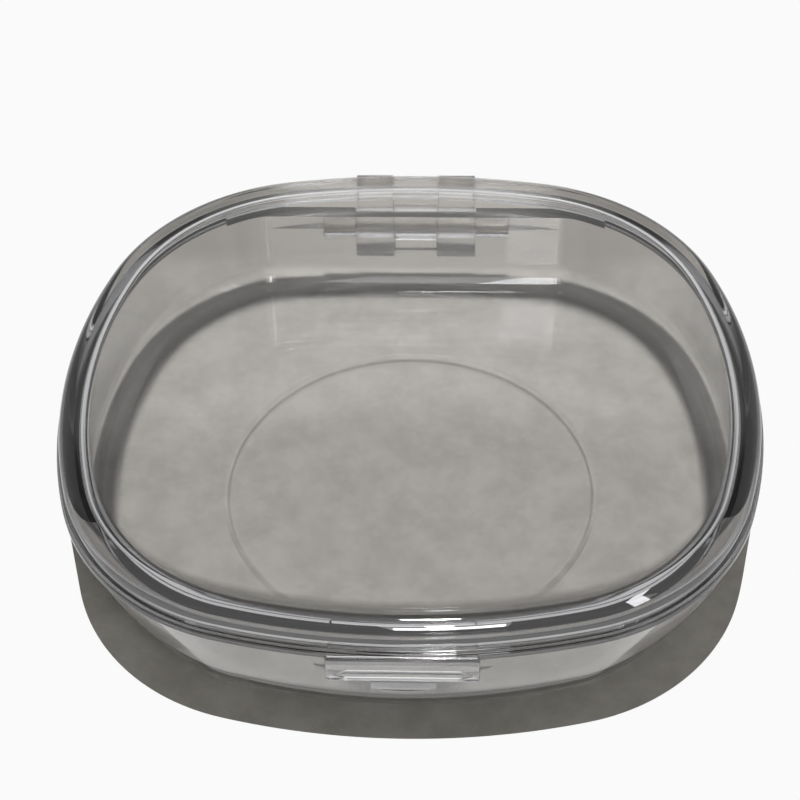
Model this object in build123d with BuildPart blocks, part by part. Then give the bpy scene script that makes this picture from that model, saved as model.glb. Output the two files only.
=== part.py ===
from build123d import *
import os

# Orthodontic retainer case, clear moulded plastic, closed.
# Millimetres, +Z up, origin on the table under the middle of the rim.
# The front, with the thumb tab, faces -Y and the hinge runs along X at +Y.

# Rim outline: four bowed sides joined by round corners.
rim_width = 84.0
rim_length = 77.56
front_bow = 85.4
back_bow = 99.0
side_bow = 60.2
side_bow_forward = 1.05
front_corner = 26.1
back_corner = 28.0

# Base shell.
base_height = 13.0
base_setback = 1.2
base_wall = 1.6
base_floor = 1.5
bottom_round = 4.4
floor_chamfer = 2.4
lip_height = 1.0
lip_gap_half_width = 25.0
ring_radius = 22.8
ring_forward = 3.6
ring_depth = 0.3

# Lid shell.
lid_height = 5.0
lid_panel = 1.5
skirt_wall = 1.2
skirt_chamfer = 0.9
bead_height = 1.3
bead_proud = 0.5
shoulder_round = 2.0
lip_clearance = 0.3

# Thumb tab on the lid, and the recess under it in the front wall of the base.
tab_width = 16.6
tab_drop = 3.0
tab_proud = 0.32
tab_thickness = 1.0
recess_width = 22.7
recess_depth = 0.8
recess_side_height = 5.6
recess_middle_height = 7.0

# Latch: a ridge on the base and a nib on the tab that passes close by it.
latch_width = 10.0
latch_ridge_drop = 1.2
latch_ridge_reach = 0.5
latch_nib_height = 0.9
latch_clearance = 0.2

# Hinge: five knuckles on one pin, in a pocket behind a flat on the back wall.
hinge_drop = 3.4
hinge_overhang = 0.32
barrel_radius = 2.1
pin_radius = 0.95
pin_chamfer = 0.2
pin_end_gap = 0.1
grip_clearance = 0.02
running_clearance = 0.04
side_clearance = 0.15
middle_knuckle_width = 5.7
arm_width = 4.9
boss_width = 4.45
rib_setback = 0.2
rib_drop = 1.2
ledge_drop = 3.0
hinge_flat_inset = 3.28
pocket_gap = 0.25
pocket_swing_room = 1.9
pad_wall = 1.15
pad_corner_round = 8.0

# How far every cut runs past the face that it opens.
overrun = 5.0

# Heights and insets that follow from the sizes above.
rim_front = -rim_length / 2
rim_back = rim_length / 2
case_height = base_height + lid_height
panel_z = case_height - lid_panel
cavity_inset = base_setback + base_wall
skirt_inset = bead_proud + skirt_wall
lip_inset = skirt_inset + lip_clearance

# Hinge places that follow from the sizes above.
hinge_y = rim_back + hinge_overhang - barrel_radius
hinge_z = base_height - hinge_drop
arm_inner_x = middle_knuckle_width / 2 + side_clearance
arm_middle_x = arm_inner_x + arm_width / 2
pocket_half_width = arm_inner_x + arm_width + side_clearance
boss_middle_x = pocket_half_width + boss_width / 2
boss_end_x = pocket_half_width + boss_width
pin_length = 2 * (boss_end_x - pin_end_gap)
ledge_z = base_height - ledge_drop
hinge_flat_y = rim_back - hinge_flat_inset
pocket_y = hinge_y - barrel_radius - pocket_gap
pocket_z = hinge_z - barrel_radius - pocket_swing_room
pad_y = pocket_y - pad_wall

# Front places that follow from the sizes above.
tab_front = rim_front - tab_proud
tab_inner = tab_front + tab_thickness
recess_y = rim_front + base_setback + recess_depth
latch_ridge_y = recess_y - latch_ridge_reach
latch_nib_reach = latch_ridge_y - latch_clearance - tab_inner


def rim_outline(inset):
    """Draw the rim's outline in the open sketch, drawn in all round by the inset."""
    with Locations((0, rim_front + front_bow)):
        Circle(front_bow - inset)
    with Locations((0, rim_back - back_bow)):
        Circle(back_bow - inset, mode=Mode.INTERSECT)
    for side in (-1, 1):
        with Locations((side * (side_bow - rim_width / 2), -side_bow_forward)):
            Circle(side_bow - inset, mode=Mode.INTERSECT)
    fillet(vertices().group_by(Axis.Y)[0], front_corner - inset)
    fillet(vertices().group_by(Axis.Y)[-1], back_corner - inset)


# Base shell: a tray with an upright wall, rounded where it meets the table.
with BuildPart() as base_shell:
    with BuildSketch(Plane.XY.offset(base_height)):
        rim_outline(base_setback)
    extrude(amount=-base_height)
    fillet(base_shell.faces().sort_by(Axis.Z)[0].edges(), bottom_round)

    # The lip stands inside the lid's skirt and stops short of the hinge on both sides.
    with BuildSketch(Plane.XY.offset(base_height)):
        rim_outline(lip_inset)
    extrude(amount=lip_height)
    with BuildSketch(Plane.XY.offset(base_height)):
        with Locations((0, rim_back)):
            Rectangle(2 * lip_gap_half_width, rim_back, align=(Align.CENTER, Align.CENTER))
    extrude(amount=lip_height + overrun, mode=Mode.SUBTRACT)

    # The cavity is flat at the back, where the wall is thick enough for the hinge pocket.
    with BuildSketch(Plane.XY.offset(base_height)) as cavity_mouth:
        rim_outline(cavity_inset)
        with Locations((0, pad_y)):
            Rectangle(rim_width, rim_length, align=(Align.CENTER, Align.MAX), mode=Mode.INTERSECT)
        fillet(vertices().group_by(Axis.Y)[-1], pad_corner_round)
    extrude(amount=lip_height + overrun, mode=Mode.SUBTRACT)
    extrude(cavity_mouth.sketch, amount=base_floor - base_height, mode=Mode.SUBTRACT)
    chamfer(base_shell.faces(Select.LAST).sort_by(Axis.Z)[0].edges(), floor_chamfer)

    # A shallow round recess in the floor.
    with BuildSketch(Plane.XY.offset(base_floor)):
        with Locations((0, -ring_forward)):
            Circle(ring_radius)
    extrude(amount=-ring_depth, mode=Mode.SUBTRACT)

    # The flat and its lens-shaped ledge, which keep the wall clear of the opening lid.
    with BuildSketch(Plane.XY.offset(ledge_z)):
        with Locations((0, hinge_flat_y)):
            Rectangle(rim_width, rim_back, align=(Align.CENTER, Align.MIN))
    extrude(amount=ledge_drop + overrun, mode=Mode.SUBTRACT)

    # The pocket that the lid's arms swing down through.
    with BuildSketch(Plane.XY.offset(pocket_z)):
        with Locations((0, pocket_y)):
            Rectangle(2 * pocket_half_width, rim_back, align=(Align.CENTER, Align.MIN))
    extrude(amount=base_height - pocket_z + overrun, mode=Mode.SUBTRACT)

    # The middle knuckle stands on a web in the pocket, with a boss on each side of it.
    with BuildSketch(Plane.YZ):
        with Locations((hinge_y, hinge_z)):
            Circle(barrel_radius)
            Rectangle(
                hinge_y - pocket_y + pad_wall / 2,
                hinge_z - pocket_z + base_wall / 2,
                align=(Align.MAX, Align.MAX),
            )
    extrude(amount=middle_knuckle_width / 2, both=True)
    for side in (-1, 1):
        with BuildSketch(Plane.YZ.offset(side * boss_middle_x)):
            with Locations((hinge_y, hinge_z)):
                Circle(barrel_radius)
        extrude(amount=boss_width / 2, both=True)
    with BuildSketch(Plane.YZ):
        with Locations((hinge_y, hinge_z)):
            Circle(pin_radius + grip_clearance)
    extrude(amount=boss_end_x, both=True, mode=Mode.SUBTRACT)

    # The thumb recess has a bowed lower edge.
    with BuildSketch(Plane.XZ.offset(-recess_y)):
        with BuildLine():
            lower_edge = ThreePointArc(
                (-recess_width / 2, base_height - recess_side_height),
                (0, base_height - recess_middle_height),
                (recess_width / 2, base_height - recess_side_height),
            )
            Polyline(
                lower_edge @ 1,
                (recess_width / 2, base_height),
                (-recess_width / 2, base_height),
                lower_edge @ 0,
            )
        make_face()
    extrude(amount=overrun, mode=Mode.SUBTRACT)

    # The latch ridge is a half-round bar across the recess.
    with BuildSketch(Plane.YZ):
        with Locations((recess_y, base_height - latch_ridge_drop)):
            Circle(latch_ridge_reach)
    extrude(amount=latch_width / 2, both=True)
base_shell.part.label = "base_shell"

# Lid shell: a rounded tray turned over, with a bead round its mouth.
with BuildPart() as lid_shell:
    with BuildSketch(Plane.XY.offset(base_height)):
        rim_outline(bead_proud)
    extrude(amount=lid_height)
    fillet(lid_shell.faces().sort_by(Axis.Z)[-1].edges(), shoulder_round)
    with BuildSketch(Plane.XY.offset(base_height)):
        rim_outline(0)
    extrude(amount=bead_height)
    with BuildSketch(Plane.XY.offset(base_height)):
        rim_outline(skirt_inset)
    extrude(amount=panel_z - base_height, mode=Mode.SUBTRACT)
    chamfer(lid_shell.faces(Select.LAST).sort_by(Axis.Z)[-1].edges(), skirt_chamfer)

    # The thumb tab hangs from the bead over the recess in the base.
    with BuildSketch(Plane.XY.offset(base_height - tab_drop)):
        with Locations((0, tab_front)):
            Rectangle(tab_width, tab_thickness, align=(Align.CENTER, Align.MIN))
    extrude(amount=tab_drop + bead_height)
    with BuildSketch(Plane.YZ):
        with Locations((tab_inner, base_height - tab_drop)):
            Rectangle(latch_nib_reach, latch_nib_height, align=(Align.MIN, Align.MIN))
    extrude(amount=latch_width / 2, both=True)

    # Each arm is a barrel on the pin and a rib that runs up the back of the skirt.
    for side in (-1, 1):
        with BuildSketch(Plane.YZ.offset(side * arm_middle_x)):
            with Locations((hinge_y, hinge_z)):
                Circle(barrel_radius)
                Rectangle(
                    barrel_radius - rib_setback,
                    case_height - rib_drop - hinge_z,
                    align=(Align.MIN, Align.MIN),
                )
        extrude(amount=arm_width / 2, both=True)
    with BuildSketch(Plane.YZ):
        with Locations((hinge_y, hinge_z)):
            Circle(pin_radius + running_clearance)
    extrude(amount=pocket_half_width, both=True, mode=Mode.SUBTRACT)
lid_shell.part.label = "lid_shell"

# Hinge pin: a plain steel wire, chamfered at both ends.
with BuildPart() as hinge_pin:
    with BuildSketch(Plane.YZ):
        with Locations((hinge_y, hinge_z)):
            Circle(pin_radius)
    extrude(amount=pin_length / 2, both=True)
    chamfer(hinge_pin.edges().filter_by(GeomType.CIRCLE), pin_chamfer)
hinge_pin.part.label = "hinge_pin"

os.makedirs("parts", exist_ok=True)
for piece in (base_shell, lid_shell, hinge_pin):
    export_step(piece.part, f"parts/{piece.part.label}.step")
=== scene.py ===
"""Dresses the clear retainer case: two moulded shells, a steel hinge pin, floor, lamps and camera.

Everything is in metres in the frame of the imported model: +Z up, -Y the front, origin on the floor.
"""

import logging
import math
from dataclasses import dataclass
from enum import Enum
from functools import partial
from typing import Sequence

import bpy
import numpy as np
from mathutils import Matrix, Vector


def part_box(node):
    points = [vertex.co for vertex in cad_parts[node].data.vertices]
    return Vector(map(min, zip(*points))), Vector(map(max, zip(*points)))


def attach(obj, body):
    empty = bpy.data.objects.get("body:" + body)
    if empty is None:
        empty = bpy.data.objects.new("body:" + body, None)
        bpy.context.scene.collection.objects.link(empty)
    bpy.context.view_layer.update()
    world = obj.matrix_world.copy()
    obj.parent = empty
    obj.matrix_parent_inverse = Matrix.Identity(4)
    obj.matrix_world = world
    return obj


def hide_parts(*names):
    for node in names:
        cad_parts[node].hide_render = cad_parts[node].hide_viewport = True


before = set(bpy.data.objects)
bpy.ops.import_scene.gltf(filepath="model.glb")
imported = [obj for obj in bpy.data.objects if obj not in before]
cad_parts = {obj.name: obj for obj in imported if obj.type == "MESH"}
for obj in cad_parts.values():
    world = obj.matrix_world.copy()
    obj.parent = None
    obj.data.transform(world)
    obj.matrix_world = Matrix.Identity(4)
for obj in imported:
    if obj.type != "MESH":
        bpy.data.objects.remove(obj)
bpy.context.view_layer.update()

MM = 0.001
log = logging.getLogger("retainer_case")

QUARTER = math.pi / 2

# The longest piece of an arc: of the rim where it is only measured, of bars along X and of the pin.
RIM_STEP = 1 * MM
BAR_STEP = 0.12 * MM
PIN_STEP = 0.08 * MM

# The fewest pieces of any arc, the share of a step that two points need between them, and the turn
# in radians below which a path runs straight.
FEWEST_PIECES = 3
SAME_POINT = 1e-4
STRAIGHT = 1e-6

# Settings and inputs that many shader nodes share.
SOFT = {"interpolation_type": "SMOOTHSTEP"}
COLOURS = {"data_type": "RGBA"}
TIMES = {"operation": "MULTIPLY"}
LARGER = {"operation": "MAXIMUM"}
FALLING = {"To_Min": 1.0, "To_Max": 0.0}


class Axis(Enum):
    """Which row axis a lofted form stacks its rows along."""

    X = 0
    Y = 1
    Z = 2


class Join(Enum):
    """What a second form does to the first one."""

    ADD = "UNION"
    CUT = "DIFFERENCE"


@dataclass(frozen=True)
class Arc:
    """One arc of an outline: centre, radius and the angles of its outward normal, in radians.

    A hollow arc has a radius below zero, and its normals turn clockwise.
    """

    x: float
    y: float
    radius: float
    start: float
    stop: float

    def mirrored(self) -> "Arc":
        """The same arc on the other side of the Y axis."""
        return Arc(-self.x, self.y, self.radius, math.pi - self.stop, math.pi - self.start)

    def inset(self, amount: float) -> "Arc":
        """The same arc, drawn in towards its centre."""
        return Arc(self.x, self.y, self.radius - amount, self.start, self.stop)


@dataclass(frozen=True)
class Outline:
    """A closed outline, which runs straight where one arc ends and the next starts elsewhere."""

    arcs: tuple[Arc, ...]

    def inset(self, amount: float) -> "Outline":
        """The outline drawn in all round, with every normal as it was."""
        return Outline(tuple(arc.inset(amount) for arc in self.arcs))

    def columns(self, step: float) -> tuple[np.ndarray, np.ndarray]:
        """Points and outward normals along the outline.

        A point is its arc's centre plus the radius times the cosine and sine of the normal's angle.

        Args:
            step: the longest distance between two points of an arc.

        Returns:
            Two arrays of (x, y) rows, points and normals, anticlockwise.
        """
        points, normals = [], []
        for arc in self.arcs:
            length = abs(arc.radius * (arc.stop - arc.start))
            count = max(FEWEST_PIECES, math.ceil(length / step))
            angles = np.linspace(arc.start, arc.stop, count + 1)
            normal = np.stack([np.cos(angles), np.sin(angles)], axis=1)
            points.append(np.array([arc.x, arc.y]) + arc.radius * normal)
            normals.append(normal)
        points, normals = np.vstack(points), np.vstack(normals)
        gaps = np.linalg.norm(points - np.roll(points, 1, axis=0), axis=1)
        moved = gaps > step * SAME_POINT
        return points[moved], normals[moved]


@dataclass(frozen=True)
class Rim:
    """The rim seen from above: four bowed sides joined by tangent corner arcs."""

    half_width: float
    half_length: float
    front_bow: float = 85.4 * MM
    back_bow: float = 99.0 * MM
    side_bow: float = 60.2 * MM
    side_bow_forward: float = 1.05 * MM
    front_corner: float = 26.1 * MM
    back_corner: float = 28.0 * MM

    def outline(self) -> Outline:
        """Work out the corner arcs and put the outline together.

        Returns:
            The whole outline, anticlockwise from the middle of the front.
        """
        front = np.array([0.0, self.front_bow - self.half_length])
        back = np.array([0.0, self.half_length - self.back_bow])
        side = np.array([self.half_width - self.side_bow, -self.side_bow_forward])
        low = self._corner(front, self.front_bow, side, self.side_bow, self.front_corner)
        high = self._corner(side, self.side_bow, back, self.back_bow, self.back_corner)
        turns = [self._angle(low - front), self._angle(low - side)]
        turns += [self._angle(high - side), self._angle(high - back)]
        right = (
            Arc(*front, self.front_bow, -QUARTER, turns[0]),
            Arc(*low, self.front_corner, turns[0], turns[1]),
            Arc(*side, self.side_bow, turns[1], turns[2]),
            Arc(*high, self.back_corner, turns[2], turns[3]),
            Arc(*back, self.back_bow, turns[3], QUARTER),
        )
        return Outline(right + tuple(arc.mirrored() for arc in reversed(right)))

    @staticmethod
    def _angle(vector: np.ndarray) -> float:
        """The angle of a vector from +X."""
        return math.atan2(vector[1], vector[0])

    @staticmethod
    def _corner(
        a: np.ndarray, radius_a: float, b: np.ndarray, radius_b: float, corner: float
    ) -> np.ndarray:
        """Find the centre of the arc that touches two bows from inside.

        It lies where two circles meet, each round one bow's centre with the bow's radius less the
        corner's.

        Args:
            a: centre of the first bow.
            radius_a: radius of the first bow.
            b: centre of the second bow, anticlockwise of the first.
            radius_b: radius of the second bow.
            corner: radius of the corner arc.

        Returns:
            The centre, on the right side of the outline.
        """
        reach_a, reach_b = radius_a - corner, radius_b - corner
        apart = b - a
        distance = np.linalg.norm(apart)
        along = (reach_a**2 - reach_b**2 + distance**2) / (2 * distance)
        across = math.sqrt(reach_a**2 - along**2)
        unit = apart / distance
        sideways = across * np.array([-unit[1], unit[0]])
        both = [a + along * unit + side * sideways for side in (-1, 1)]
        return max(both, key=lambda centre: centre[0])


def flat_at_back(outline: Outline, limit: float, corner: float) -> Outline:
    """Cut an outline off straight at the back and round the two new corners.

    The corner arc's centre lies on the outline drawn in by the corner's radius, at that radius from
    the flat.

    Args:
        outline: the outline, mirrored left to right.
        limit: the Y of the flat.
        corner: the radius of the two corners.

    Returns:
        The new outline.
    """
    kept = []
    for arc in outline.arcs[: len(outline.arcs) // 2]:
        reach = (limit - corner - arc.y) / (arc.radius - corner)
        turn = math.asin(min(1.0, max(-1.0, reach)))
        if turn >= arc.stop:
            kept.append(arc)
            continue
        kept.append(Arc(arc.x, arc.y, arc.radius, arc.start, turn))
        centre_x = arc.x + (arc.radius - corner) * math.cos(turn)
        kept.append(Arc(centre_x, limit - corner, corner, turn, QUARTER))
        break
    return Outline(tuple(kept) + tuple(arc.mirrored() for arc in reversed(kept)))


def rounded_rectangle(low: Sequence[float], high: Sequence[float], corner: float) -> Outline:
    """A rectangle with round corners.

    Args:
        low: its lowest two coordinates.
        high: its highest two coordinates.
        corner: the radius of each corner.

    Returns:
        The outline, anticlockwise.
    """
    right, left = high[0] - corner, low[0] + corner
    top, bottom = high[1] - corner, low[1] + corner
    centres = ((right, bottom), (right, top), (left, top), (left, bottom))
    return Outline(
        tuple(Arc(*c, corner, (k - 1) * QUARTER, k * QUARTER) for k, c in enumerate(centres))
    )


def circle(x: float, y: float, radius: float) -> Outline:
    """A full circle as four arcs, anticlockwise."""
    return Outline(tuple(Arc(x, y, radius, (k - 1) * QUARTER, k * QUARTER) for k in range(4)))


def rounded_path(corners: Sequence[tuple[float, float, float]], steps: int) -> np.ndarray:
    """A run of straight lines with each inner corner replaced by an arc.

    The arc starts and ends at the corner's radius times the tangent of half the turn from the
    corner. Each point is the arc's centre plus its first and last radius, each weighted by the sine
    of its share of the turn over the sine of the turn.

    Args:
        corners: rows of (inset, height, radius).
        steps: how many pieces a right-angled corner is cut into.

    Returns:
        An array of (inset, height) rows.
    """
    path = [np.array(corners[0][:2])]
    for before, here, after in zip(corners, corners[1:], corners[2:]):
        corner, radius = np.array(here[:2]), here[2]
        back, ahead = np.array(before[:2]) - corner, np.array(after[:2]) - corner
        back, ahead = back / np.linalg.norm(back), ahead / np.linalg.norm(ahead)
        turn = math.pi - math.acos(float(np.clip(back @ ahead, -1, 1)))
        if radius <= 0 or turn < STRAIGHT:
            path.append(corner)
            continue
        cut = radius * math.tan(turn / 2)
        middle = (back + ahead) / np.linalg.norm(back + ahead)
        centre = corner + middle * radius / math.cos(turn / 2)
        shares = np.linspace(0, 1, max(2, math.ceil(steps * turn / QUARTER)) + 1)[:, None]
        first, last = corner + cut * back - centre, corner + cut * ahead - centre
        arc = (np.sin((1 - shares) * turn) * first + np.sin(shares * turn) * last) / math.sin(turn)
        path.extend(centre + arc)
    path.append(np.array(corners[-1][:2]))
    return np.array(path)


def add_object(name: str, data: bpy.types.ID) -> bpy.types.Object:
    """Put a new object into the scene.

    Args:
        name: the object's name.
        data: its mesh, lamp or camera.

    Returns:
        The object, at the origin.
    """
    made = bpy.data.objects.new(name, data)
    bpy.context.scene.collection.objects.link(made)
    return made


def add_mesh(name: str, points: Sequence, faces: Sequence) -> bpy.types.Object:
    """Put a new mesh object into the scene.

    Args:
        name: the name of the object and its mesh.
        points: rows of three coordinates.
        faces: rows of point numbers.

    Returns:
        The object.
    """
    mesh = bpy.data.meshes.new(name)
    mesh.from_pydata(points, [], faces)
    return add_object(name, mesh)


def loft(
    name: str,
    outline: Outline,
    profile: np.ndarray,
    step: float,
    axis: Axis = Axis.Z,
    lean: np.ndarray | None = None,
) -> bpy.types.Object:
    """Carry a profile round an outline and close both ends flat.

    Each point is the outline's point less the profile's inset times the outline's normal, at the
    profile's height. Where there is a lean, the inset grows by the lean times the square of the
    sine of twice the normal's angle, on the front half alone, so that only the front corners lean.

    Args:
        name: the new object's name.
        outline: the outline at inset zero.
        profile: rows of (inset, height).
        step: the longest distance between two points of an arc.
        axis: the axis that the height runs along. The outline lies in the other two, in cyclic
            order.
        lean: for each row of the profile, how much further in the front corners lie.

    Returns:
        A closed mesh object whose faces point outwards.
    """
    points, normals = outline.columns(step)
    rows, columns = len(profile), len(points)
    inset = np.repeat(profile[:, :1], columns, axis=1)
    if lean is not None:
        at_corner = (2 * normals[:, 0] * np.minimum(normals[:, 1], 0)) ** 2
        inset = inset + lean[:, None] * at_corner[None]
    flat = points[None] - inset[..., None] * normals[None]
    grid = np.empty((rows, columns, 3))
    first, second = ((axis.value + 1) % 3, (axis.value + 2) % 3)
    grid[..., first], grid[..., second] = flat[..., 0], flat[..., 1]
    grid[..., axis.value] = profile[:, None, 1]
    index = np.arange(rows * columns).reshape(rows, columns)
    ahead = np.roll(index, -1, axis=1)
    quads = np.stack([index[:-1], ahead[:-1], ahead[1:], index[1:]], axis=-1).reshape(-1, 4)
    faces = quads.tolist() + [index[0, ::-1].tolist(), index[-1].tolist()]
    piece = add_mesh(name, grid.reshape(-1, 3).tolist(), faces)
    if signed_volume(piece.data) < 0:
        piece.data.flip_normals()
    return piece


def signed_volume(mesh: bpy.types.Mesh) -> float:
    """Work out the volume inside a closed mesh.

    It is a sixth of the sum, over the triangles, of the first corner dotted with the cross product
    of the other two.

    Args:
        mesh: the mesh.

    Returns:
        The volume, below zero where the faces point inwards.
    """
    mesh.calc_loop_triangles()
    corners = np.empty(len(mesh.loop_triangles) * 3, np.int32)
    mesh.loop_triangles.foreach_get("vertices", corners)
    places = np.empty(len(mesh.vertices) * 3)
    mesh.vertices.foreach_get("co", places)
    a, b, c = places.reshape(-1, 3)[corners].reshape(-1, 3, 3).transpose(1, 0, 2)
    return float(np.einsum("ij,ij->i", a, np.cross(b, c)).sum() / 6)


def block(name: str, low: Sequence[float], high: Sequence[float]) -> bpy.types.Object:
    """Make a plain cutter with square edges.

    Args:
        name: the object's name.
        low: its lowest corner.
        high: its highest corner.

    Returns:
        The cutter as a closed mesh.
    """
    points = [(low[0], low[1]), (high[0], low[1]), (high[0], high[1]), (low[0], high[1])]
    corners = [(x, y, z) for z in (low[2], high[2]) for x, y in points]
    sides = [(k, (k + 1) % 4, (k + 1) % 4 + 4, k + 4) for k in range(4)]
    return add_mesh(name, corners, sides + [(3, 2, 1, 0), (4, 5, 6, 7)])


def join(piece: bpy.types.Object, other: bpy.types.Object, how: Join) -> None:
    """Add a closed form to a piece, or cut it out of the piece, and delete the form.

    Args:
        piece: the piece that changes.
        other: the form that is used up.
        how: add or cut.
    """
    modifier = piece.modifiers.new(how.name.lower(), "BOOLEAN")
    modifier.operation = how.value
    modifier.solver = "EXACT"
    modifier.object = other
    graph = bpy.context.evaluated_depsgraph_get()
    mesh = bpy.data.meshes.new_from_object(piece.evaluated_get(graph))
    piece.modifiers.remove(modifier)
    old, piece.data = piece.data, mesh
    bpy.data.meshes.remove(old)
    mesh.name = piece.name
    volume = signed_volume(mesh) / MM**3
    log.info("%s %s %s: %.3f mm3", piece.name, how.name, other.name, volume)
    bpy.data.objects.remove(other)


def smooth(piece: bpy.types.Object, sharp_degrees: float = 24.0) -> None:
    """Shade a moulding smooth, with flat faces kept flat and real edges kept crisp.

    Args:
        piece: the finished mesh.
        sharp_degrees: an edge that turns by more than this stays crisp.
    """
    mesh = piece.data
    mesh.polygons.foreach_set("use_smooth", np.ones(len(mesh.polygons), bool))
    mesh.set_sharp_from_angle(angle=math.radians(sharp_degrees))
    modifier = piece.modifiers.new("even_normals", "WEIGHTED_NORMAL")
    modifier.keep_sharp = True
    modifier.weight = 100  # The largest faces alone decide.
    graph = bpy.context.evaluated_depsgraph_get()
    finished = bpy.data.meshes.new_from_object(piece.evaluated_get(graph))
    piece.modifiers.remove(modifier)
    piece.data = finished


def mark_inset(piece: bpy.types.Object, rim: Outline) -> None:
    """Write how far inside the rim each vertex lies, in millimetres, as the attribute rim_inset.

    The rim is convex, so that distance is the smallest, over the rim's points, of the way from the
    vertex to the point along the point's normal.

    Args:
        piece: the finished moulding.
        rim: the rim's outline.
    """
    mesh = piece.data
    places = np.empty(len(mesh.vertices) * 3)
    mesh.vertices.foreach_get("co", places)
    points, normals = rim.columns(RIM_STEP)
    reach = (points * normals).sum(axis=1)
    inset = (reach[None] - places.reshape(-1, 3)[:, :2] @ normals.T).min(axis=1)
    marks = mesh.attributes.new("rim_inset", "FLOAT", "POINT")
    marks.data.foreach_set("value", inset / MM)


def linear(hex_colour: str) -> tuple[float, float, float, float]:
    """Turn a hex colour linear by the sRGB curve.

    A channel up to 0.04045 is divided by 12.92. Any other has 0.055 added, is divided by 1.055 and
    raised to the power of 2.4.

    Args:
        hex_colour: six hex digits, sRGB.

    Returns:
        Linear red, green and blue, and an alpha of 1.
    """
    parts = [int(hex_colour[k : k + 2], 16) / 255 for k in (0, 2, 4)]
    channels = [c / 12.92 if c <= 0.04045 else ((c + 0.055) / 1.055) ** 2.4 for c in parts]
    return (*channels, 1.0)


def add_node(
    tree: bpy.types.NodeTree, kind: str, settings: dict | None = None, **inputs: object
) -> bpy.types.Node:
    """Add a shader node, with its settings and its inputs' values or links.

    Args:
        tree: the node tree.
        kind: the node's type name.
        settings: attributes of the node itself.
        inputs: socket name, with _ for a space, or socket number after an n, to a value, a
            socket, or a node whose first output is meant.

    Returns:
        The new node.
    """
    node = tree.nodes.new(kind)
    for key, value in (settings or {}).items():
        setattr(node, key, value)
    for key, value in inputs.items():
        socket = node.inputs[int(key[1:]) if key[1:].isdigit() else key.replace("_", " ")]
        if isinstance(value, bpy.types.Node):
            value = value.outputs[0]
        if isinstance(value, bpy.types.NodeSocket):
            tree.links.new(value, socket)
        else:
            socket.default_value = value
    return node


def new_material(name: str) -> tuple[bpy.types.Material, partial]:
    """Make an empty node material.

    Args:
        name: the material's name.

    Returns:
        The material, and add_node for its tree.
    """
    material = bpy.data.materials.new(name)
    material.use_nodes = True
    material.node_tree.nodes.clear()
    return material, partial(add_node, material.node_tree)


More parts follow.
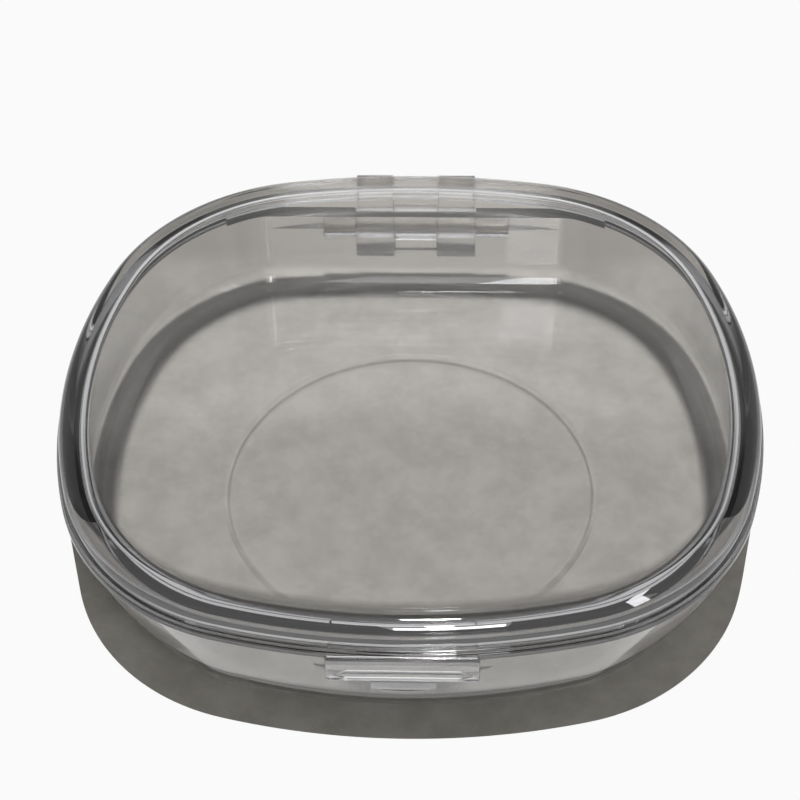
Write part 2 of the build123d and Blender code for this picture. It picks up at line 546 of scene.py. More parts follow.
# Moulded in a polished tool, this plastic shines and bends light like glass. To the eye the case is
# a clear form drawn by its rounds: dark lines where a face turns away, deepened by painted shade in
# the colour of the walls and of edges turned from the eye, bright ones where it meets a lamp, and a
# floor that shows through with a slight waver. Handling leaves hairlines, and the hinge rubs its
# wall dull.
@dataclass(frozen=True)
class ClearPolystyrene:
    """Crystal polystyrene, injection moulded in a polished tool, as clear as glass."""

    name: str
    # Polystyrene bends light more than window glass does, and has hardly any tint of its own.
    ior: float = 1.59
    tint: str = "FDFDFE"
    # Shrinkage waves, as far apart as the real ones.
    wave_mm: float = 14.0
    wave_depth_mm: float = 0.010
    wave_detail: float = 1.0
    # Flow lines in the walls. Real ones are some 0.2 mm apart, and are drawn coarser to show.
    ripple_mm: float = 0.9
    ripple_depth_mm: float = 0.0016
    ripple_drift: float = 0.03
    # Hairlines, turned off the X axis by an angle in radians. Real ones are some 0.02 mm wide, and
    # are drawn coarser to show.
    hairline_mm: float = 0.35
    hairline_turn: float = 0.6
    hairline_stretch: float = 0.02
    hairline_from: float = 0.62
    hairline_to: float = 0.78
    line_detail: float = 2.0
    clean_roughness: float = 0.012
    worn_roughness: float = 0.08
    # The rubbed wall at the hinge: where it starts and is full in Y, and is full and ends in X.
    hinge_roughness: float = 0.26
    hinge_zone: tuple[float, float] = (33.9 * MM, 34.6 * MM)
    hinge_half: tuple[float, float] = (12.0 * MM, 30.0 * MM)
    # How much lamp light passes, from a face that meets it square on to a steep one or a wall.
    shade_flat: str = "FEFEFE"
    shade_steep: str = "2C2C2C"
    shade_from: float = 0.01
    shade_to: float = 0.27
    wall_zone_mm: tuple[float, float] = (3.4, 6.4)
    # Painted shade: the walls take a darker colour, and edges that turn away from the eye a darker
    # one still, both from a height upwards.
    painted_shade_above: float = -1.0 * MM
    wall_painted_shade: str = "D2D2D3"
    edge_painted_shade: str = "2A2A2E"
    edge_zone_mm: tuple[float, float] = (3.0, 3.5)
    edge_from: float = 0.40
    edge_to: float = 0.66

    def material(self) -> bpy.types.Material:
        """Build the material.

        Light from lamps passes straight through. A face that it meets square on passes nearly all
        of it, and a steep or rounded face, which in real plastic bends the light away, passes
        little, so the floor under the case is lit and the walls cast their dark lines.

        Returns:
            The material.
        """
        material, node = new_material(self.name)
        place = node("ShaderNodeTexCoord").outputs["Object"]
        parts = node("ShaderNodeSeparateXYZ", Vector=place).outputs
        inset = node("ShaderNodeAttribute", {"attribute_name": "rim_inset"}).outputs["Fac"]
        facing = node("ShaderNodeLayerWeight").outputs["Facing"]

        # How rough: polished, with hairlines, and dull where the hinge rubs.
        stretch = node(
            "ShaderNodeMapping",
            Vector=place,
            Rotation=(0.0, 0.0, self.hairline_turn),
            Scale=(self.hairline_stretch, 1.0, 1.0),
        )
        hairlines = node(
            "ShaderNodeTexNoise",
            Vector=stretch,
            Scale=1 / (self.hairline_mm * MM),
            Detail=self.line_detail,
        )
        worn = node(
            "ShaderNodeMapRange",
            Value=hairlines,
            From_Min=self.hairline_from,
            From_Max=self.hairline_to,
            To_Min=self.clean_roughness,
            To_Max=self.worn_roughness,
        )
        start, full = self.hinge_zone
        at_back = node("ShaderNodeMapRange", Value=parts["Y"], From_Min=start, From_Max=full)
        sideways = node("ShaderNodeMath", {"operation": "ABSOLUTE"}, n0=parts["X"])
        full, stop = self.hinge_half
        between = node(
            "ShaderNodeMapRange", SOFT, Value=sideways, From_Min=full, From_Max=stop, **FALLING
        )
        rubbed = node("ShaderNodeMath", TIMES, n0=at_back, n1=between)
        hinge_rough = node("ShaderNodeMath", TIMES, n0=rubbed, n1=self.hinge_roughness)
        rough = node("ShaderNodeMath", LARGER, n0=worn, n1=hinge_rough)

        # Which colour: the clear tint, with painted shade that darkens the walls, and darkens them
        # further where an edge turns away from the eye.
        full, stop = self.edge_zone_mm
        at_edge = node("ShaderNodeMapRange", Value=inset, From_Min=full, From_Max=stop, **FALLING)
        above = node(
            "ShaderNodeMath", {"operation": "GREATER_THAN"}, n0=parts["Z"], n1=self.painted_shade_above
        )
        wall_shade_zone = node("ShaderNodeMath", TIMES, n0=at_edge, n1=above)
        off_hinge = node(
            "ShaderNodeMath", {"operation": "SUBTRACT", "use_clamp": True}, n0=wall_shade_zone, n1=rubbed
        )
        turned_away = node(
            "ShaderNodeMapRange", SOFT, Value=facing, From_Min=self.edge_from, From_Max=self.edge_to
        )
        edge = node("ShaderNodeMath", TIMES, n0=turned_away, n1=off_hinge)
        # Painted shade: the walls' darker colour, kept off the rubbed wall at the hinge.
        wall_shaded_tint = node(
            "ShaderNodeMix", COLOURS, n0=off_hinge, n6=linear(self.tint), n7=linear(self.wall_painted_shade)
        )
        # Painted shade: darker still on edges turned away from the eye.
        tint = node(
            "ShaderNodeMix", COLOURS, n0=edge, n6=wall_shaded_tint.outputs[2], n7=linear(self.edge_painted_shade)
        )

        # Its surface: shrinkage waves all over, and flow lines that follow the rim in the walls.
        waves = node(
            "ShaderNodeTexNoise",
            Vector=place,
            Scale=1 / (self.wave_mm * MM),
            Detail=self.wave_detail,
        )
        bump = node("ShaderNodeBump", Distance=self.wave_depth_mm * MM, Height=waves)
        height_mm = node("ShaderNodeMath", {"operation": "DIVIDE"}, n0=parts["Z"], n1=MM)
        drift_mm = node("ShaderNodeMath", TIMES, n0=parts["X"], n1=self.ripple_drift / MM)
        along = node("ShaderNodeCombineXYZ", X=inset, Y=height_mm, Z=drift_mm)
        lines = node(
            "ShaderNodeTexNoise", Vector=along, Scale=1 / self.ripple_mm, Detail=self.line_detail
        )
        ripples = node(
            "ShaderNodeBump",
            Strength=off_hinge,
            Distance=self.ripple_depth_mm * MM,
            Height=lines,
            Normal=bump,
        )
        plastic = node(
            "ShaderNodeBsdfPrincipled",
            Base_Color=tint.outputs[2],
            Roughness=rough,
            IOR=self.ior,
            Transmission_Weight=1.0,
            Normal=ripples,
        )

        # How much lamp light passes.
        steepness = node(
            "ShaderNodeMapRange", Value=facing, From_Min=self.shade_from, From_Max=self.shade_to
        )
        full, stop = self.wall_zone_mm
        in_wall = node(
            "ShaderNodeMapRange", SOFT, Value=inset, From_Min=full, From_Max=stop, **FALLING
        )
        bent = node("ShaderNodeMath", LARGER, n0=steepness, n1=in_wall)
        shade = node(
            "ShaderNodeMix",
            COLOURS,
            n0=bent,
            n6=linear(self.shade_flat),
            n7=linear(self.shade_steep),
        )
        through = node("ShaderNodeBsdfTransparent", Color=shade.outputs[2])
        path = node("ShaderNodeLightPath").outputs
        from_lamp = node(
            "ShaderNodeMath", LARGER, n0=path["Is Shadow Ray"], n1=path["Is Diffuse Ray"]
        )
        mixed = node("ShaderNodeMixShader", n0=from_lamp, n1=plastic, n2=through)
        node("ShaderNodeOutputMaterial", Surface=mixed)
        return material


# Pulled cold through a die, the wire keeps a bright skin with lines along it. To the eye it is a
# warm grey rod with one long, slightly broken highlight.
@dataclass(frozen=True)
class DrawnSteel:
    """Bright drawn steel wire: metal with fine lines along the wire and a warm grey tone."""

    name: str
    colour: str = "B9B2A4"
    # Real lines are some 0.01 mm apart, and are drawn coarser to show.
    line_mm: float = 0.08
    line_depth_mm: float = 0.005
    line_strength: float = 0.3
    line_stretch: float = 0.03
    line_detail: float = 2.0
    line_from: float = 0.3
    line_to: float = 0.7
    low_roughness: float = 0.16
    high_roughness: float = 0.34

    def material(self) -> bpy.types.Material:
        """Build the material, its lines stretched along X, the way the wire was drawn.

        Returns:
            The material.
        """
        material, node = new_material(self.name)
        place = node("ShaderNodeTexCoord").outputs["Object"]
        stretch = node("ShaderNodeMapping", Vector=place, Scale=(self.line_stretch, 1.0, 1.0))
        lines = node(
            "ShaderNodeTexNoise",
            Vector=stretch,
            Scale=1 / (self.line_mm * MM),
            Detail=self.line_detail,
        )
        roughness = node(
            "ShaderNodeMapRange",
            Value=lines,
            From_Min=self.line_from,
            From_Max=self.line_to,
            To_Min=self.low_roughness,
            To_Max=self.high_roughness,
        )
        bump = node(
            "ShaderNodeBump",
            Strength=self.line_strength,
            Distance=self.line_depth_mm * MM,
            Height=lines,
        )
        steel = node(
            "ShaderNodeBsdfPrincipled",
            Base_Color=linear(self.colour),
            Metallic=1.0,
            Roughness=roughness,
            Normal=bump,
        )
        node("ShaderNodeOutputMaterial", Surface=steel)
        return material


@dataclass(frozen=True)
class Hinge:
    """Sizes that both shells and the pin share at the hinge."""

    y: float
    z: float
    barrel: float = 2.1 * MM
    pin: float = 0.95 * MM
    grip_gap: float = 0.02 * MM
    running_gap: float = 0.04 * MM
    side_gap: float = 0.15 * MM
    middle_half: float = 2.85 * MM
    arm: float = 4.9 * MM
    boss: float = 4.45 * MM
    end_edge: float = 0.15 * MM

    @property
    def arm_start(self) -> float:
        """The X where a lid arm starts."""
        return self.middle_half + self.side_gap

    @property
    def pocket_half(self) -> float:
        """Half the width of the pocket for the arms."""
        return self.arm_start + self.arm + self.side_gap

    @property
    def boss_end(self) -> float:
        """The X where a base boss ends."""
        return self.pocket_half + self.boss

    def bore(self, gap: float) -> bpy.types.Object:
        """Make the cutter for the pin's hole.

        Args:
            gap: how much wider than the pin it is all round.

        Returns:
            The cutter.
        """
        profile = np.array([(0.0, -self.boss_end), (0.0, self.boss_end)])
        outline = circle(self.y, self.z, self.pin + gap)
        return loft("bore", outline, profile, PIN_STEP, Axis.X)


def barrel_bar(
    name: str, outline: Outline, start: float, stop: float, edge: float
) -> bpy.types.Object:
    """Make a bar along X from its section in Y and Z, with an edge softened at both ends."""
    corners = [(2 * edge, start, 0), (0, start, edge), (0, stop, edge), (2 * edge, stop, 0)]
    return loft(name, outline, rounded_path(corners, steps=4), BAR_STEP, Axis.X)


@dataclass
class LidShell:
    """The lid: a shallow tray turned over, with a bead, a thumb tab and two hinge arms.

    Low is the parting line and high the top. The tab drops from the parting line, and the ribs
    start a drop below the top. A half is half a width along X.
    """

    rim: Outline
    hinge: Hinge
    low: float
    high: float
    tab_front: float
    bead: float = 1.3 * MM
    bead_proud: float = 0.5 * MM
    bead_round: float = 0.35 * MM
    bead_foot: float = 0.12 * MM
    wall: float = 1.2 * MM
    mouth_round: float = 0.15 * MM
    panel: float = 1.5 * MM
    shoulder: float = 2.0 * MM
    inner_round: float = 1.3 * MM
    thick_wall: float = 2.5 * MM
    thick_from: float = 1.35 * MM
    thick_ramp: float = 0.3 * MM
    thick_foot: float = 0.1 * MM
    tab_half: float = 8.3 * MM
    tab_drop: float = 3.0 * MM
    tab_thick: float = 1.0 * MM
    tab_sunk: float = 0.2 * MM
    tab_corner: float = 0.36 * MM
    tab_edge: float = 0.17 * MM
    tab_back_edge: float = 0.12 * MM
    nib_half: float = 7.5 * MM
    nib_height: float = 0.9 * MM
    nib_reach: float = 0.62 * MM
    nib_round: float = 0.44 * MM
    rib_depth: float = 1.9 * MM
    rib_drop: float = 1.2 * MM
    rib_round: float = 0.5 * MM
    rib_blend: float = 0.3 * MM
    step: float = 0.6 * MM
    fine_step: float = 0.1 * MM
    # The lid's walls carry darker painted shade than the base's, from just below the parting line
    # up.
    finish: ClearPolystyrene = ClearPolystyrene(
        "lid_clear_polystyrene_moulded",
        wall_painted_shade="BCBCBE",
        painted_shade_above=12.95 * MM,
        edge_zone_mm=(3.8, 4.5),
    )

    def tray(self) -> bpy.types.Object:
        """Carry the profile of shoulder, bead and skirt round the rim.

        Returns:
            The tray.
        """
        skirt, upper = self.bead_proud + self.wall, self.bead_proud + self.thick_wall
        ceiling = self.high - self.panel
        # The panel is flat from three shoulders in, where both ends of the profile lie.
        centre = self.bead_proud + self.shoulder * 3
        thick = self.low + self.thick_from
        corners = [
            (centre, self.high, 0),
            (self.bead_proud, self.high, self.shoulder),
            (self.bead_proud, self.low + self.bead, self.bead_foot),
            (0, self.low + self.bead, self.bead_round),
            (0, self.low, self.bead_round),
            (skirt, self.low, self.mouth_round),
            (skirt, thick, self.mouth_round),
            (upper, thick + self.thick_ramp, self.thick_foot),
            (upper, ceiling, self.inner_round),
            (centre, ceiling, 0),
        ]
        return loft("lid_tray", self.rim, rounded_path(corners, steps=10), self.step)

    def tab(self) -> bpy.types.Object:
        """Make the thumb tab: a rounded plate that hangs from the bead.

        Returns:
            The tab.
        """
        low = (self.low - self.tab_drop, -self.tab_half)
        high = (self.low + self.bead - self.tab_sunk, self.tab_half)
        outline = rounded_rectangle(low, high, self.tab_corner)
        back = self.tab_front + self.tab_thick
        corners = [
            (2 * self.tab_edge, self.tab_front, 0),
            (0, self.tab_front, self.tab_edge),
            (0, back, self.tab_back_edge),
            (2 * self.tab_edge, back, 0),
        ]
        return loft("tab", outline, rounded_path(corners, steps=6), self.fine_step, Axis.Y)

    def arm(self, side: int) -> bpy.types.Object:
        """Make one hinge arm: a barrel round the pin and a rib up the back of the skirt.

        A hollow arc blends the rib's front into the barrel: its centre is the blend's radius in
        front of the rib and that radius outside the barrel.

        Args:
            side: 1 for the arm on the right, -1 for the one on the left.

        Returns:
            The arm.
        """
        h = self.hinge
        top, back = self.high - self.rib_drop, h.y + self.rib_depth
        soft, blend = self.rib_round, self.rib_blend
        lean = math.acos(self.rib_depth / h.barrel)
        rise = math.sqrt((h.barrel + blend) ** 2 - blend**2)
        meet = math.atan2(rise, -blend)
        outline = Outline(
            (
                Arc(h.y, h.z, h.barrel, meet, 2 * math.pi + lean),
                Arc(back - soft, top - soft, soft, 0, QUARTER),
                Arc(h.y + soft, top - soft, soft, QUARTER, 2 * QUARTER),
                Arc(h.y - blend, h.z + rise, -blend, 2 * QUARTER, meet),
            )
        )
        near, far = h.arm_start, h.arm_start + h.arm
        start, stop = (near, far) if side > 0 else (-far, -near)
        return barrel_bar("arm", outline, start, stop, h.end_edge)

    def nib(self) -> bpy.types.Object:
        """Make the latch nib along the inside of the tab's lower edge, its ends tapered.

        Returns:
            The nib.
        """
        back = self.tab_front + self.tab_thick
        low = (back - self.nib_reach, self.low - self.tab_drop)
        high = (back + self.nib_reach, self.low - self.tab_drop + self.nib_height)
        half, soft = self.nib_half, self.nib_round
        full = half - 3 * soft
        corners = [(soft, -half, 0), (0, -full, 2 * soft), (0, full, 2 * soft), (soft, half, 0)]
        outline = rounded_rectangle(low, high, soft)
        return loft("nib", outline, rounded_path(corners, steps=12), self.fine_step, Axis.X)

    def build(self) -> bpy.types.Object:
        """Make the lid, dress it and set it on its body.

        Returns:
            The finished lid.
        """
        piece = self.tray()
        join(piece, self.tab(), Join.ADD)
        join(piece, self.nib(), Join.ADD)
        for side in (-1, 1):
            join(piece, self.arm(side), Join.ADD)
        join(piece, self.hinge.bore(self.hinge.running_gap), Join.CUT)
        smooth(piece)
        mark_inset(piece, self.rim)
        piece.data.materials.clear()
        piece.data.materials.append(self.finish.material())
        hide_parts("lid_shell")
        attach(piece, "lid")
        return piece


@dataclass
class BaseShell:
    """The base: a tray with a lip, a thumb recess and a hinge pocket behind a flat.

    The height is the parting line, and all drops are measured down from it. Insets and the setback
    are measured in from the rim. A half is half a width along X.
    """

    rim: Outline
    hinge: Hinge
    rim_front: float
    rim_back: float
    height: float
    lip: float = 1.0 * MM
    lip_round: float = 0.15 * MM
    lip_foot: float = 0.1 * MM
    edge_round: float = 0.2 * MM
    setback: float = 1.2 * MM
    wall: float = 1.6 * MM
    floor: float = 1.5 * MM
    bottom_round: float = 5.4 * MM
    floor_round: float = 3.6 * MM
    corner_lean: float = 2.6 * MM
    lip_inset: float = 2.0 * MM
    lip_gap_half: float = 25.0 * MM
    ring: float = 22.8 * MM
    ring_forward: float = 3.6 * MM
    ring_depth: float = 0.3 * MM
    ring_ramp: float = 0.9 * MM
    ring_brim: float = 0.02 * MM
    ring_step: float = 0.5 * MM
    ledge_drop: float = 3.0 * MM
    flat_inset: float = 3.28 * MM
    pocket_gap: float = 0.25 * MM
    swing_room: float = 1.9 * MM
    pad_wall: float = 1.15 * MM
    pad_round: float = 8.0 * MM
    recess_half: float = 12.9 * MM
    recess_depth: float = 0.8 * MM
    recess_side: float = 5.6 * MM
    recess_middle: float = 7.0 * MM
    recess_corner: float = 3.7 * MM
    # The recess's edge: its cutter starts outside the rim, turns in by the brow at the brim outside
    # the wall, and slopes in to the foot, past which its face is flat.
    recess_outside: float = 2.0 * MM
    recess_brim: float = 0.02 * MM
    recess_brow: float = 0.6 * MM
    recess_slope: float = 3.3 * MM
    recess_foot: float = 2.0 * MM
    recess_flat: float = 3.65 * MM
    recess_step: float = 0.3 * MM
    boss_radius: float = 1.6 * MM
    latch_half: float = 5.0 * MM
    latch_drop: float = 1.2 * MM
    latch_reach: float = 0.3 * MM
    web_round: float = 0.3 * MM
    bar_edge: float = 0.12 * MM
    # How far the cutters run past the back and the sides, and above the rim.
    margin: float = 10.0 * MM
    headroom: float = 5.0 * MM
    step: float = 0.6 * MM
    # The base's edges that turn away from the eye take only a little painted shade.
    finish: ClearPolystyrene = ClearPolystyrene(
        "base_clear_polystyrene_moulded", edge_painted_shade="BEBEC0"
    )

    @property
    def pocket_y(self) -> float:
        """The Y of the pocket's front face."""
        return self.hinge.y - self.hinge.barrel - self.pocket_gap

    @property
    def pocket_z(self) -> float:
        """The height of the pocket's floor."""
        return self.hinge.z - self.hinge.barrel - self.swing_room

    def lean(self, profile: np.ndarray) -> np.ndarray:
        """How far the front corners lean in along a profile: not at the top, most at the floor."""
        return self.corner_lean * np.clip(1 - profile[:, 1] / self.height, 0, 1)

    def blank(self) -> bpy.types.Object:
        """Make the base's outside with its lip, still solid.

        Returns:
            The solid base.
        """
        under = self.setback + 2 * self.bottom_round
        top = self.height + self.lip
        corners = [
            (under, 0, 0),
            (self.setback, 0, self.bottom_round),
            (self.setback, self.height, self.edge_round),
            (self.lip_inset, self.height, self.lip_foot),
            (self.lip_inset, top, self.lip_round),
            (under, top, 0),
        ]
        profile = rounded_path(corners, steps=14)
        return loft("base_tray", self.rim, profile, self.step, lean=self.lean(profile))

    def cavity(self) -> bpy.types.Object:
        """Make the cutter for the inside, flat at the back and rounded down to the floor.

        Returns:
            The cutter.
        """
        inside = self.rim.inset(self.setback + self.wall)
        outline = flat_at_back(inside, self.pocket_y - self.pad_wall, self.pad_round)
        corners = [
            (0, self.height + 2 * self.lip, 0),
            (0, self.floor, self.floor_round),
            (2 * self.floor_round, self.floor, 0),
        ]
        profile = rounded_path(corners, steps=12)
        return loft("cavity", outline, profile, self.step, lean=self.lean(profile))

    def ring_recess(self) -> bpy.types.Object:
        """Make the cutter for the shallow round recess in the floor, its edge a soft ramp.

        Returns:
            The cutter.
        """
        top, low = self.floor + self.ring_depth, self.floor - self.ring_depth
        ramp = self.ring_ramp
        corners = [
            (-ramp / 4, top, 0),
            (-ramp / 4, self.floor + self.ring_brim, 0),
            (ramp / 2, low, ramp),
            (3 * ramp, low, 0),
        ]
        outline = circle(0, -self.ring_forward, self.ring)
        return loft("ring", outline, rounded_path(corners, steps=24), self.ring_step)

    def recess(self) -> bpy.types.Object:
        """Make the cutter for the thumb recess, its lower edge bowed down in the middle.

        The bow's radius is the square of half the width plus the square of the rise, over twice the
        rise. Each lower corner's centre lies on the bow drawn in by the corner's radius.

        Returns:
            The cutter.
        """
        rise = self.recess_middle - self.recess_side
        bow = (self.recess_half**2 + rise**2) / (2 * rise)
        centre = self.height - self.recess_middle + bow
        top, soft = self.height + 2 * self.lip, self.recess_corner
        across = self.recess_half - soft
        lean = math.asin(across / (bow - soft))
        corner = centre - (bow - soft) * math.cos(lean)
        outline = Outline(
            (
                Arc(centre, 0, bow, 2 * QUARTER - lean, 2 * QUARTER + lean),
                Arc(corner, -across, soft, 2 * QUARTER + lean, 3 * QUARTER),
                Arc(top, -across, soft, 3 * QUARTER, 4 * QUARTER),
                Arc(top, across, soft, 0, QUARTER),
                Arc(corner, across, soft, QUARTER, 2 * QUARTER - lean),
            )
        )
        wall = self.rim_front + self.setback
        face = wall + self.recess_depth
        corners = [
            (0, self.rim_front - self.recess_outside, 0),
            (0, wall - self.recess_brim, self.recess_brow),
            (self.recess_slope, face, self.recess_foot),
            (self.recess_flat, face, 0),
        ]
        return loft("recess", outline, rounded_path(corners, steps=6), self.recess_step, Axis.Y)

    def ridge(self) -> bpy.types.Object:
        """Make the latch ridge, a half-round bar on the recess's face.

        Returns:
            The ridge.
        """
        face = self.rim_front + self.setback + self.recess_depth
        outline = circle(face, self.height - self.latch_drop, self.latch_reach)
        return barrel_bar("ridge", outline, -self.latch_half, self.latch_half, self.bar_edge)

    def middle_knuckle(self) -> bpy.types.Object:
        """Make the middle knuckle and the web that it stands on.

        A hollow arc blends the web's back into the barrel: its centre is the blend's radius behind
        the web and that radius outside the barrel.

        Returns:
            The knuckle.
        """
        h, soft = self.hinge, self.web_round
        front, under = self.pocket_y - self.pad_wall / 2, self.pocket_z - self.wall / 2
        drop = math.sqrt((h.barrel + soft) ** 2 - soft**2)
        meet = math.atan2(-drop, soft)
        outline = Outline(
            (
                Arc(h.y, h.z, h.barrel, meet, 2 * QUARTER),
                Arc(front + soft, h.z - soft, soft, QUARTER, 2 * QUARTER),
                Arc(front + soft, under + soft, soft, 2 * QUARTER, 3 * QUARTER),
                Arc(h.y - soft, under + soft, soft, 3 * QUARTER, 4 * QUARTER),
                Arc(h.y + soft, h.z - drop, -soft, 0, meet),
            )
        )
        return barrel_bar("knuckle", outline, -h.middle_half, h.middle_half, self.bar_edge)

    def build(self) -> bpy.types.Object:
        """Make the base, dress it and set it on its body.

        Returns:
            The finished base.
        """
        h, gap = self.hinge, self.lip_gap_half
        far, top = self.rim_back + self.margin, self.height + self.headroom
        lip_gap = (-gap, self.rim_back / 2, self.height)
        flat = (-far, self.rim_back - self.flat_inset, self.height - self.ledge_drop)
        pocket = (-h.pocket_half, self.pocket_y, self.pocket_z)
        boss = circle(h.y, h.z, self.boss_radius)
        piece = self.blank()
        join(piece, self.cavity(), Join.CUT)
        join(piece, block("lip_gap", lip_gap, (gap, far, top)), Join.CUT)
        join(piece, self.ring_recess(), Join.CUT)
        join(piece, block("flat", flat, (far, far, top)), Join.CUT)
        join(piece, block("pocket", pocket, (h.pocket_half, far, top)), Join.CUT)
        join(piece, self.middle_knuckle(), Join.ADD)
        for start, stop in ((-h.boss_end, -h.pocket_half), (h.pocket_half, h.boss_end)):
            join(piece, barrel_bar("boss", boss, start, stop, h.end_edge), Join.ADD)
        join(piece, h.bore(h.grip_gap), Join.CUT)
        join(piece, self.recess(), Join.CUT)
        join(piece, self.ridge(), Join.ADD)
        smooth(piece)
        mark_inset(piece, self.rim)
        piece.data.materials.clear()
        piece.data.materials.append(self.finish.material())
        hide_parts("base_shell")
        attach(piece, "base")
        return piece


@dataclass
class HingePin:
    """The straight steel wire through the knuckles, with rounded ends."""

    hinge: Hinge
    half_length: float
    end_round: float = 0.25 * MM
    end_flat: float = 0.3
    crisp_degrees: float = 40.0
    finish: DrawnSteel = DrawnSteel("pin_drawn_steel_wire")

    def build(self) -> bpy.types.Object:
        """Make the pin, dress it and set it on its body.

        Returns:
            The finished pin.
        """
        h = self.hinge
        inner = (1 - self.end_flat) * h.pin
        corners = [
            (inner, -self.half_length, 0),
            (0, -self.half_length, self.end_round),
            (0, self.half_length, self.end_round),
            (inner, self.half_length, 0),
        ]
        outline, profile = circle(h.y, h.z, h.pin), rounded_path(corners, steps=6)
        piece = loft("steel_pin", outline, profile, PIN_STEP, Axis.X)
        smooth(piece, self.crisp_degrees)
        piece.data.materials.append(self.finish.material())
        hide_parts("hinge_pin")
        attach(piece, "base")
        return piece


# Painted board, rubbed matt: to the eye a quiet warm grey without a shine, clouded by uneven paint,
# with painted shade behind the case.
@dataclass(frozen=True)
class TableTop:
    """A matt table top, a warm grey with faint clouds, and painted shade behind the back of the
    case.
    """

    name: str = "table_matt_painted_board"
    light: str = "D4D0C8"
    dark: str = "C3BFB6"
    # Painted shade behind the case: its colour, and the Y where it starts and where it is full.
    painted_shade_behind: str = "B4B0A8"
    beyond_from: float = 37.0 * MM
    beyond_to: float = 43.0 * MM
    cloud_mm: float = 6.0
    cloud_detail: float = 8.0
    cloud_grain: float = 0.72
    cloud_from: float = 0.40
    cloud_to: float = 0.60
    roughness: float = 0.8
    shine: float = 0.2

    def material(self) -> bpy.types.Material:
        """Build the material.

        Returns:
            The material.
        """
        material, node = new_material(self.name)
        place = node("ShaderNodeTexCoord").outputs["Object"]
        clouds = node(
            "ShaderNodeTexNoise",
            Vector=place,
            Scale=1 / (self.cloud_mm * MM),
            Detail=self.cloud_detail,
            Roughness=self.cloud_grain,
        )
        patches = node(
            "ShaderNodeMapRange", Value=clouds, From_Min=self.cloud_from, From_Max=self.cloud_to
        )
        colour = node(
            "ShaderNodeMix", COLOURS, n0=patches, n6=linear(self.dark), n7=linear(self.light)
        )
        # Painted shade: the colour darkens behind the back of the case.
        depth = node("ShaderNodeSeparateXYZ", Vector=place).outputs["Y"]
        behind = node(
            "ShaderNodeMapRange",
            SOFT,
            Value=depth,
            From_Min=self.beyond_from,
            From_Max=self.beyond_to,
        )
        shade_behind_mixed = node(
            "ShaderNodeMix", COLOURS, n0=behind, n6=colour.outputs[2], n7=linear(self.painted_shade_behind)
        )
        table = node(
            "ShaderNodeBsdfPrincipled",
            Base_Color=shade_behind_mixed.outputs[2],
            Roughness=self.roughness,
            Specular_IOR_Level=self.shine,
        )
        node("ShaderNodeOutputMaterial", Surface=table)
        return material


# Uncoated backdrop paper, lit on its own: to the eye an even white with no shade or shine.
@dataclass(frozen=True)
class WhiteSweep:
    """The plain white ground of the picture, which lights the case no more than the table does."""

    name: str = "ground_white_paper"
    colour: str = "FAFAFA"
    paper: str = "C4C0BA"
    roughness: float = 0.8
    shine: float = 0.0

    def material(self) -> bpy.types.Material:
        """Build the material: white to the eye, mirrors and glass, and grey to diffuse light.

        Returns:
            The material.
        """
        material, node = new_material(self.name)
        paper = node(
            "ShaderNodeBsdfPrincipled",
            Base_Color=linear(self.paper),
            Roughness=self.roughness,
            Specular_IOR_Level=self.shine,
        )
        white = node("ShaderNodeEmission", Color=linear(self.colour))
        path = node("ShaderNodeLightPath").outputs
        seen = path["Is Camera Ray"]
        for kind in ("Is Glossy Ray", "Is Transmission Ray"):
            seen = node("ShaderNodeMath", LARGER, n0=seen, n1=path[kind])
        mixed = node("ShaderNodeMixShader", n0=seen, n1=paper, n2=white)
        node("ShaderNodeOutputMaterial", Surface=mixed)
        return material


@dataclass(frozen=True)
class Lamp:
    """One area lamp that looks at the case: round, or an upright strip where it has a height.

    It may light the case and the floor, or show in shiny faces, or both.
    """

    name: str
    place: tuple[float, float, float]
    size: float
    power: float
    height: float = 0.0
    lights: bool = True
    mirrored: bool = True

    def build(self) -> None:
        """Hang the lamp, turned towards the origin."""
        data = bpy.data.lights.new(self.name, "AREA")
        data.energy = self.power
        data.shape = "RECTANGLE" if self.height else "DISK"
        data.size = self.size
        data.size_y = self.height
        lamp = add_object(self.name, data)
        turn = Vector(self.place).to_track_quat("Z", "Y").to_matrix().to_4x4()
        lamp.matrix_world = Matrix.Translation(self.place) @ turn
        lamp.visible_diffuse = self.lights
        lamp.visible_glossy = lamp.visible_transmission = self.mirrored


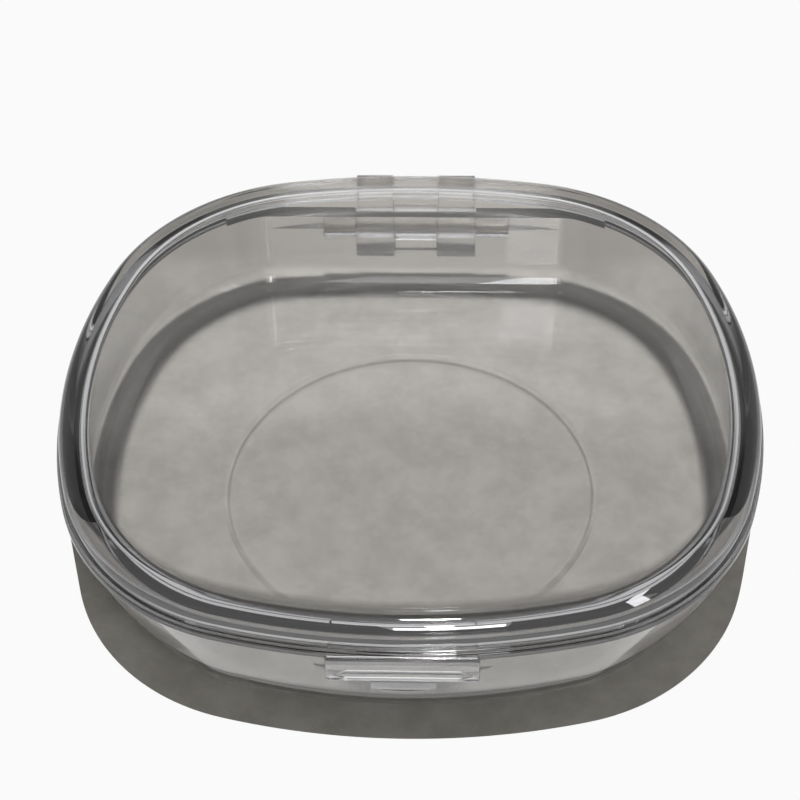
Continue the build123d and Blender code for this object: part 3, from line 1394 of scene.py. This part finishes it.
@dataclass
class Studio:
    """A white ground with the table left under the case, lamps, a dim room and the camera."""

    rim: Outline
    table: TableTop = TableTop()
    ground: WhiteSweep = WhiteSweep()
    ground_half: float = 3.0
    ground_drop: float = 0.04 * MM
    table_drop: float = 0.02 * MM
    table_inset: float = 0.45 * MM
    table_forward: float = 1.27 * MM
    # Insets and heights of the rim's and the shoulder's widest lines.
    table_seen: tuple[tuple[float, float], ...] = ((0.4 * MM, 14.0 * MM), (0.9 * MM, 16.8 * MM))
    table_points: int = 360
    room_colour: str = "FFFEFC"
    room_level: float = 0.14
    wall_level: float = 0.56
    # The pale wall: its top in degrees above the floor, and its edges as parts of a ray's length.
    wall_top: float = 46.15
    wall_blur: float = 0.01
    wall_from: float = 0.1
    wall_full: float = 0.5
    lamps: tuple[Lamp, ...] = (
        Lamp("overhead", (0.016, 0.15, 1.6), size=0.12, power=17.4),
        Lamp("fill", (0.5, -1.2, 1.0), size=0.9, power=5.7, mirrored=False),
        Lamp("front_strip", (0.1, -1.15, 1.15), size=0.1, power=4.0, height=0.8, lights=False),
        Lamp("front_glow", (0.12, -1.15, 1.1), size=0.45, power=3.4, height=0.8, lights=False),
        Lamp("right_strip", (1.05, -0.8, 0.85), size=0.22, power=0.55, height=0.5, lights=False),
    )
    camera_place: tuple[float, float, float] = (5.02 * MM, -160.04 * MM, 177.99 * MM)
    # The camera's angles in degrees.
    camera_down: float = 45.784
    camera_turn: float = 2.231
    camera_roll: float = -1.112
    camera_near: float = 1 * MM
    lens_mm: float = 85.5
    film_mm: float = 36.0
    bounces: int = 28
    mirror_bounces: int = 4

    def table_edge(self) -> np.ndarray:
        """Work out the edge of the table that is left round the case.

        It is the hull of the rim's own outline, moved a little to the front, and of the outlines of
        the rim and the lid's shoulder cast on the floor from the camera: each point goes on along
        its ray down to the floor. The hull's corner is where the tangents of two directions next to
        each other meet.

        Returns:
            Rows of (x, y), anticlockwise.
        """
        flat = self.rim.inset(self.table_inset).columns(RIM_STEP)[0]
        flat = flat - np.array([0, self.table_forward])
        eye = np.array(self.camera_place)
        runs = [flat]
        for inset, height in self.table_seen:
            high = self.rim.inset(inset).columns(RIM_STEP)[0]
            runs.append(eye[:2] + (high - eye[:2]) * eye[2] / (eye[2] - height))
        points = np.vstack(runs)
        angles = np.linspace(0, 2 * math.pi, self.table_points, endpoint=False)
        rays = np.stack([np.cos(angles), np.sin(angles)], axis=1)
        reach = (points @ rays.T).max(axis=0)
        ahead, turn = np.roll(reach, -1), angles[1] - angles[0]
        along = (ahead - reach * math.cos(turn)) / math.sin(turn)
        sideways = np.stack([-rays[:, 1], rays[:, 0]], axis=1)
        return reach[:, None] * rays + along[:, None] * sideways

    def floor(self) -> None:
        """The white ground, and the table on it where the case stands."""
        half, low = self.ground_half, -self.ground_drop
        corners = [(-half, -half, low), (half, -half, low), (half, half, low), (-half, half, low)]
        edge = self.table_edge()
        patch = np.column_stack([edge, np.full(len(edge), -self.table_drop)])
        sheets = (("floor", corners, self.ground), ("table", patch.tolist(), self.table))
        for name, rows, finish in sheets:
            sheet = add_mesh(name, rows, [range(len(rows))])
            sheet.data.materials.append(finish.material())

    def room(self) -> None:
        """Soft light from a dim room with a pale wall behind the case, up to the wall's top."""
        world = bpy.data.worlds.new("room")
        bpy.context.scene.world = world
        world.use_nodes = True
        world.node_tree.nodes.clear()
        node = partial(add_node, world.node_tree)
        place = node("ShaderNodeTexCoord").outputs["Generated"]
        parts = node("ShaderNodeSeparateXYZ", Vector=place).outputs
        top = math.sin(math.radians(self.wall_top))
        below_top = node(
            "ShaderNodeMapRange",
            SOFT,
            Value=parts["Z"],
            From_Min=top - self.wall_blur,
            From_Max=top + self.wall_blur,
            **FALLING,
        )
        behind = node(
            "ShaderNodeMapRange",
            SOFT,
            Value=parts["Y"],
            From_Min=self.wall_from,
            From_Max=self.wall_full,
        )
        wall = node("ShaderNodeMath", TIMES, n0=below_top, n1=behind)
        level = node(
            "ShaderNodeMapRange", Value=wall, To_Min=self.room_level, To_Max=self.wall_level
        )
        sky = node("ShaderNodeBackground", Color=linear(self.room_colour), Strength=level)
        node("ShaderNodeOutputWorld", Surface=sky)

    def camera(self) -> None:
        """Set the camera where the photograph was taken from, with its tilt, turn and roll."""
        data = bpy.data.cameras.new("photograph")
        data.lens, data.sensor_width = self.lens_mm, self.film_mm
        data.clip_start = self.camera_near
        camera = add_object("photograph", data)
        turn = Matrix.Rotation(math.radians(self.camera_turn), 4, "Z")
        tilt = Matrix.Rotation(math.radians(90 - self.camera_down), 4, "X")
        roll = Matrix.Rotation(math.radians(self.camera_roll), 4, "Z")
        camera.matrix_world = Matrix.Translation(self.camera_place) @ turn @ tilt @ roll
        bpy.context.scene.camera = camera

    def build(self) -> None:
        """Set up the floor, the lamps, the camera and the plain view."""
        self.floor()
        self.room()
        for lamp in self.lamps:
            lamp.build()
        self.camera()
        bpy.context.scene.view_settings.view_transform = "Standard"
        cycles = bpy.context.scene.cycles
        cycles.max_bounces = cycles.transmission_bounces = self.bounces
        cycles.transparent_max_bounces = self.bounces
        cycles.glossy_bounces = self.mirror_bounces


def main() -> None:
    """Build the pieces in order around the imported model."""
    logging.basicConfig(level=logging.INFO, format="%(name)s: %(message)s")
    lid_low, lid_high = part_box("lid_shell")
    pin_low, pin_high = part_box("hinge_pin")
    # The parting line's height, and how far the arms stand out behind the rim.
    base_height = 13.0 * MM
    rim_overhang = 0.32 * MM
    half_length = lid_high[1] - rim_overhang
    rim = Rim(half_width=lid_high[0], half_length=half_length).outline()
    hinge = Hinge(y=(pin_low[1] + pin_high[1]) / 2, z=(pin_low[2] + pin_high[2]) / 2)
    parts = (
        BaseShell(rim, hinge, rim_front=-half_length, rim_back=half_length, height=base_height),
        LidShell(rim, hinge, low=base_height, high=lid_high[2], tab_front=lid_low[1]),
        HingePin(hinge, half_length=pin_high[0]),
    )
    for part in parts:
        piece = part.build()
        log.info("%s: %d faces", piece.name, len(piece.data.polygons))
    Studio(rim).build()


if __name__ == "__main__":
    main()
